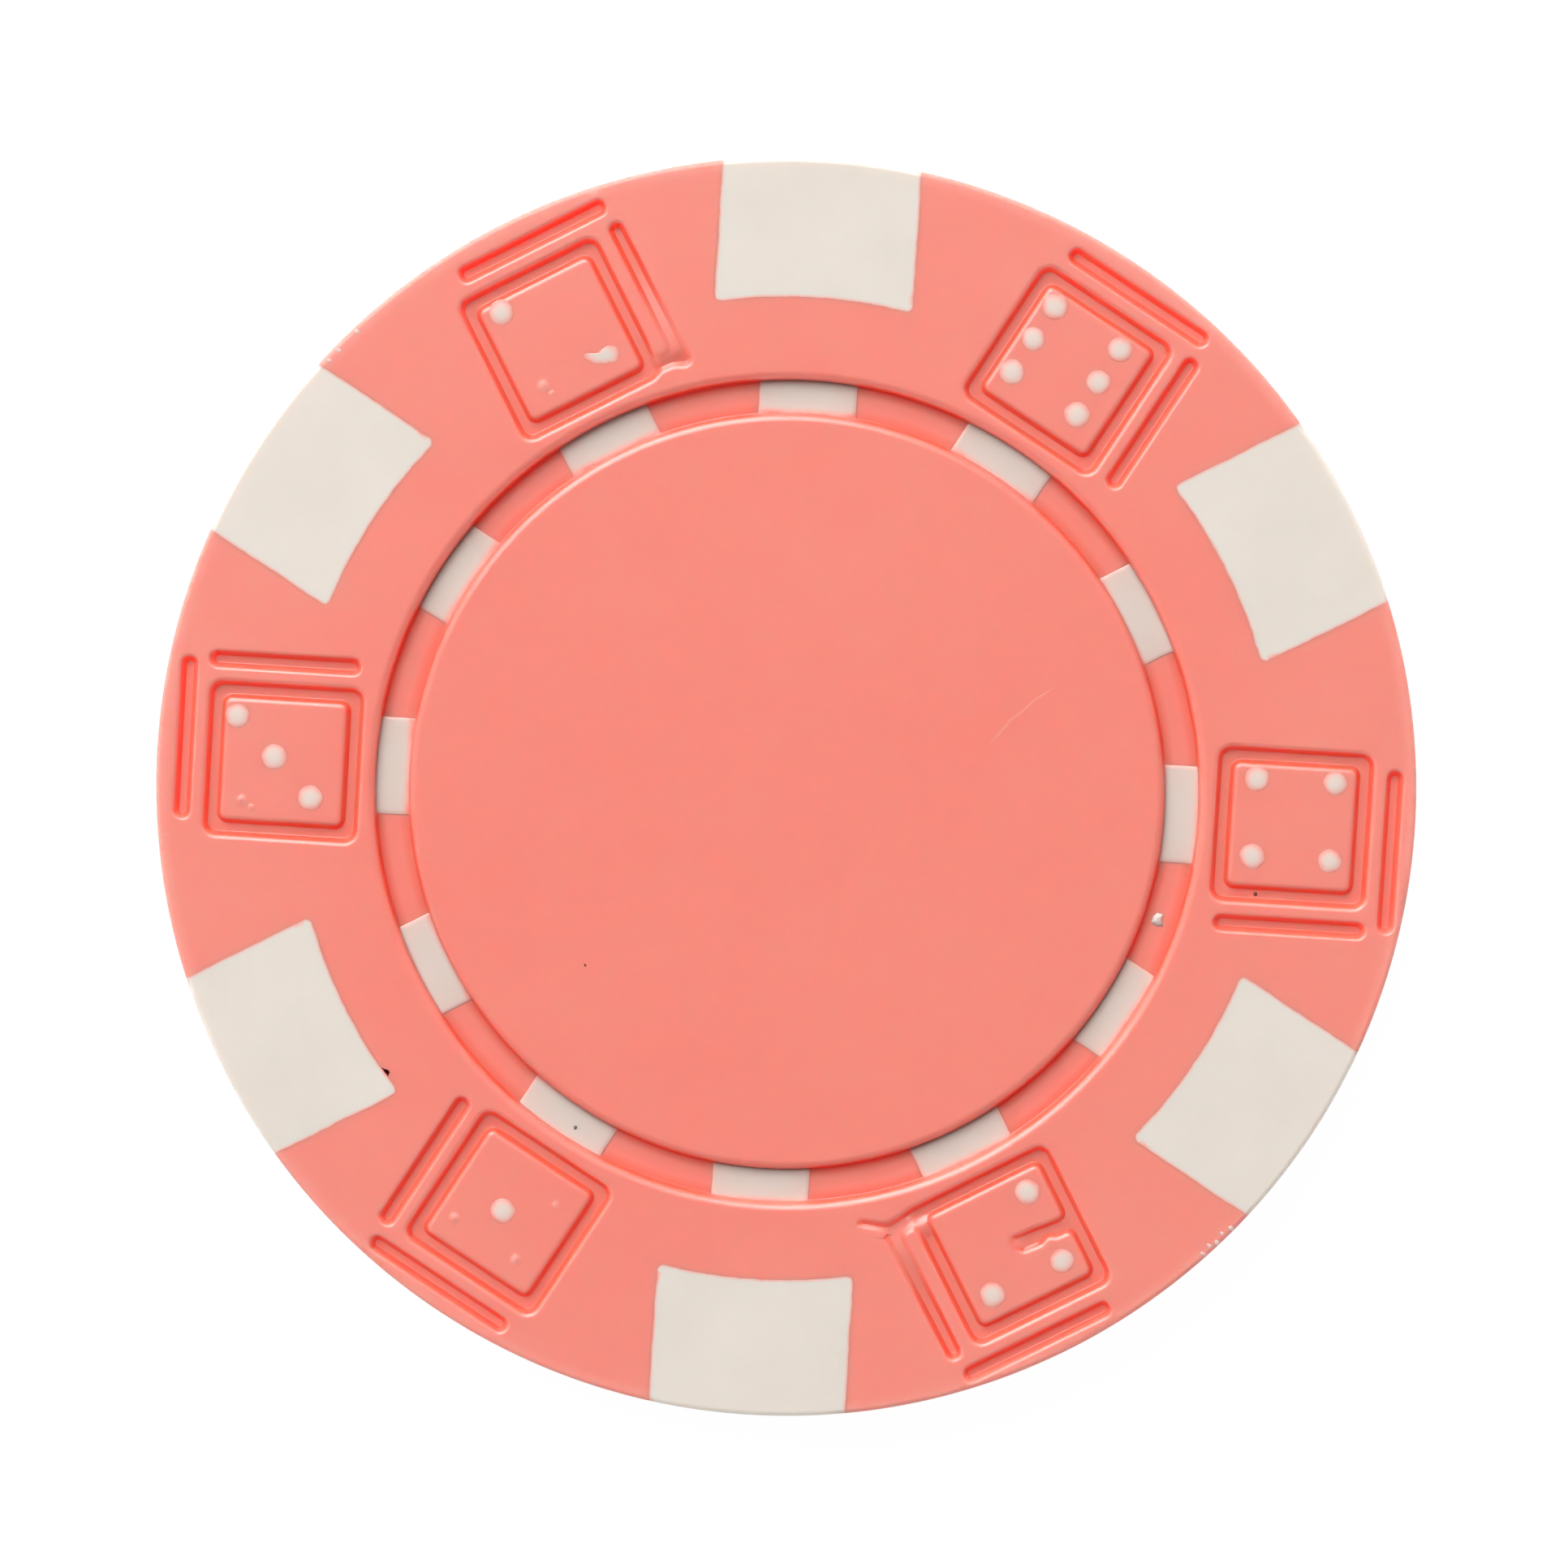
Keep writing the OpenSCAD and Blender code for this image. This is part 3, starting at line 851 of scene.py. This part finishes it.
def markBlock(s=whiteSizes):
    block = newShell()
    half = s["markWide"] / 2
    side = [(half + out, z, tint) for out, z, tint in s["markSide"]]
    section = side + [(-y, z, tint) for y, z, tint in reversed(side)]
    rows = []
    for k in range(s["markSteps"] + 1):
        x = s["markIn"] + (s["markOut"] - s["markIn"]) * k / s["markSteps"]
        # painted red bounce light from the groove's walls near the mark's ends
        wallBounce = s["markWalledTint"] * smooth(*s["markWalled"], min(x - s["markIn"], s["markOut"] - x))
        row = []
        for y, z, tint in section:
            noiseRow = s["markWaveRows"][0 if y > 0 else 1]
            wave = s["markWave"] * noise.noise(Vector((x * s["markWaveStep"], noiseRow, 0)))
            shift = wave if abs(y) > half - s["markWaveWide"] else 0
            here = addRing(block, [(x, y + shift)], s["markTop"] + z)[0]
            block["tint"][here] = max(tint, wallBounce)
            # the whole mark is darkened a little
            block["soil"][here] = s["markSoil"]
            row.append(here)
        rows.append(row)
    joinAll(block, rows)
    block["faces"] += [tuple(rows[0]), tuple(rows[-1])]
    return block


# A dome on any outline round the origin
def pipBlock(outline, rise, s=whiteSizes):
    block = newShell()
    rings = []
    for share, high, tint in s["pipProfile"]:
        ring = addRing(block, [p * share for p in outline], rise * high)
        block["tint"].update({i: tint for i in ring})
        rings.append(ring)
    joinAll(block, rings)
    peak = addRing(block, [(0, 0)], rise)[0]
    block["tint"][peak] = s["pipProfile"][0][2]
    block["faces"] += [(i, j, peak) for i, j in zip(rings[0], rings[0][1:] + rings[0][:1])]
    block["faces"].append(tuple(rings[-1]))
    return block


# The pip of the two that was torn while soft
def addSmear(shell, s=whiteSizes, c=coralSizes):
    corners = [Vector(p) for p in s["smear"]]
    middle = sum(corners, Vector((0, 0))) / len(corners)
    outline = roundedLoop([p - middle for p in corners], [s["smearCorner"]] * len(corners))
    place = diePlace(diceOrder.index(2), middle.x, middle.y, c["thick"] - c["faceDrop"])
    addShell(shell, pipBlock(outline, s["smearRise"]), place)


def newTree(name, sockets):
    tree = bpy.data.node_groups.new(name, "GeometryNodeTree")
    face = tree.interface
    face.new_socket("Geometry", in_out="INPUT", socket_type="NodeSocketGeometry")
    ids = {}
    for label, kind in sockets.items():
        ids[label] = face.new_socket(label, in_out="INPUT", socket_type=kind).identifier
    face.new_socket("Geometry", in_out="OUTPUT", socket_type="NodeSocketGeometry")
    return tree, ids, addNode(tree, "NodeGroupInput")


# Copies turned over for the lower face, then made real
def closeTree(tree, given, copies):
    lift = addNode(tree, "ShaderNodeCombineXYZ", {"Z": given.outputs["Thickness"]})
    under = addNode(tree, "GeometryNodeTransform", {
        "Geometry": copies, "Translation": lift.outputs[0], "Rotation": (math.pi, 0, 0)})
    both = addNode(tree, "GeometryNodeJoinGeometry", {"Geometry": copies})
    tree.links.new(under.outputs[0], both.inputs["Geometry"])
    sides = addNode(tree, "GeometryNodeSwitch", {
        "Switch": given.outputs["Both Faces"], "False": copies, "True": both.outputs[0],
    }, input_type="GEOMETRY")
    real = addNode(tree, "GeometryNodeRealizeInstances", {"Geometry": sides.outputs[0]})
    coloured = addNode(tree, "GeometryNodeSetMaterial", {
        "Geometry": real.outputs[0], "Material": given.outputs["Material"]})
    addNode(tree, "NodeGroupOutput", {"Geometry": coloured.outputs[0]})


# The object's own mesh, copied round the chip's middle
def ringTree():
    tree, ids, given = newTree("copiesRoundTheChip", {
        "Copies": "NodeSocketInt", "First Turn": "NodeSocketFloat", "Thickness": "NodeSocketFloat",
        "Both Faces": "NodeSocketBool", "Material": "NodeSocketMaterial"})
    points = addNode(tree, "GeometryNodePoints", {"Count": given.outputs["Copies"]})
    index = addNode(tree, "GeometryNodeInputIndex")
    step = mathOf(tree, "DIVIDE", 2 * math.pi, given.outputs["Copies"])
    turn = mathOf(tree, "MULTIPLY_ADD", index.outputs[0], step, given.outputs["First Turn"])
    spin = addNode(tree, "ShaderNodeCombineXYZ", {"Z": turn})
    copies = addNode(tree, "GeometryNodeInstanceOnPoints", {
        "Points": points.outputs[0], "Instance": given.outputs["Geometry"], "Rotation": spin.outputs[0]})
    closeTree(tree, given, copies.outputs[0])
    return tree, ids


# A stud on each seat, a little uneven in width and turned at random
def studTree():
    tree, ids, given = newTree("studsOnSeats", {
        "Stud": "NodeSocketObject", "Unevenness": "NodeSocketFloat", "Seed": "NodeSocketInt",
        "Thickness": "NodeSocketFloat", "Both Faces": "NodeSocketBool", "Material": "NodeSocketMaterial"})
    stud = addNode(tree, "GeometryNodeObjectInfo", {"Object": given.outputs["Stud"]})
    small = mathOf(tree, "SUBTRACT", 1.0, given.outputs["Unevenness"])
    large = mathOf(tree, "ADD", 1.0, given.outputs["Unevenness"])
    vary = addNode(tree, "FunctionNodeRandomValue", {
        2: small, 3: large, "Seed": given.outputs["Seed"]}, data_type="FLOAT")
    size = addNode(tree, "ShaderNodeCombineXYZ", {"X": vary.outputs[1], "Y": vary.outputs[1], "Z": 1.0})
    spin = addNode(tree, "FunctionNodeRandomValue", {
        2: 0.0, 3: 2 * math.pi, "Seed": given.outputs["Seed"]}, data_type="FLOAT")
    turn = addNode(tree, "ShaderNodeCombineXYZ", {"Z": spin.outputs[1]})
    copies = addNode(tree, "GeometryNodeInstanceOnPoints", {
        "Points": given.outputs["Geometry"], "Instance": stud.outputs["Geometry"],
        "Rotation": turn.outputs[0], "Scale": size.outputs[0]})
    closeTree(tree, given, copies.outputs[0])
    return tree, ids


def runTree(name, mesh, tree, ids, values):
    maker = bpy.data.objects.new(name, mesh)
    modifier = maker.modifiers.new(name, "NODES")
    modifier.node_group = tree
    for label, value in values.items():
        modifier[ids[label]] = value
    scene.collection.objects.link(maker)
    made = bpy.data.meshes.new_from_object(maker.evaluated_get(bpy.context.evaluated_depsgraph_get()))
    maker.modifiers.remove(modifier)
    maker.data = made
    return maker


def seatMesh(s=whiteSizes, c=coralSizes):
    seats = []
    for i, value in enumerate(diceOrder):
        places = [(s["pipOut"] + u * s["pipPitch"], v * s["pipPitch"]) for u, v in pipPlaces[value]]
        for place in turned(places, c["dieStep"] * i):
            x, y = place + Vector(s["pipShift"])
            seats.append((x * mm, y * mm, (c["thick"] - c["faceDrop"]) * mm))
    mesh = bpy.data.meshes.new("pipSeats")
    mesh.from_pydata(seats, [], [])
    return mesh


# The inner flange that holds the slug, with the torn pip and the loose chips and dirt
def coreShell(s=whiteSizes):
    shell = newShell()
    rings = [addRing(shell, circle(radius, s["flangeSteps"]), height) for radius, height in s["flange"]]
    joinAll(shell, rings + rings[:1])
    addSmear(shell)
    for x, y in s["flecks"]:
        addPimple(shell, x, y, *s["fleckSize"], "tint", s["fleckTint"])
    addPimple(shell, *s["ringFleck"])
    addPimple(shell, *s["markDirt"], "soil")
    return shell


def makeWhiteCore(s=whiteSizes):
    shared = {"Thickness": coralSizes["thick"] * mm, "Material": whitePlastic}
    ring, ringIds = ringTree()
    studs, studIds = studTree()
    spots = runTree("edgeSpots", shellMesh("spotBlock", spotBlock(), whitePlastic), ring, ringIds, {
        "Copies": s["spots"], "First Turn": math.pi / s["spots"], "Both Faces": False, **shared})
    marks = runTree("ringMarks", shellMesh("markBlock", markBlock(), whitePlastic), ring, ringIds, {
        "Copies": s["marks"], "First Turn": 0.0, "Both Faces": True, **shared})
    pip = pipBlock(circle(s["pipWide"] / 2, s["pipSteps"]), s["pipRise"])
    stud = bpy.data.objects.new("pipStud", shellMesh("pipStud", pip, whitePlastic, s["pipSharp"]))
    pips = runTree("pips", seatMesh(), studs, studIds, {
        "Stud": stud, "Unevenness": s["pipVary"], "Seed": s["pipSeed"], "Both Faces": True, **shared})
    core = bpy.data.objects.new("whiteCore", shellMesh("whiteCore", coreShell(), whitePlastic))
    scene.collection.objects.link(core)
    parts = [core, spots, marks, pips]
    with bpy.context.temp_override(
            active_object=core, object=core, selected_objects=parts, selected_editable_objects=parts):
        bpy.ops.object.join()
    bpy.data.objects.remove(stud)
    print("white core", len(core.data.polygons), "faces")
    return core


whiteCore = makeWhiteCore()
print("white core made")

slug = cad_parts["weight_slug"]
slug.data.materials.clear()
slug.data.materials.append(slugSteel)

for piece, node, slotName in ((coralBody, "coral_body", "coral_abs"), (whiteCore, "white_core", "white_abs")):
    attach(piece, "root")
    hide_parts(node)

print("pieces ride on the frame")
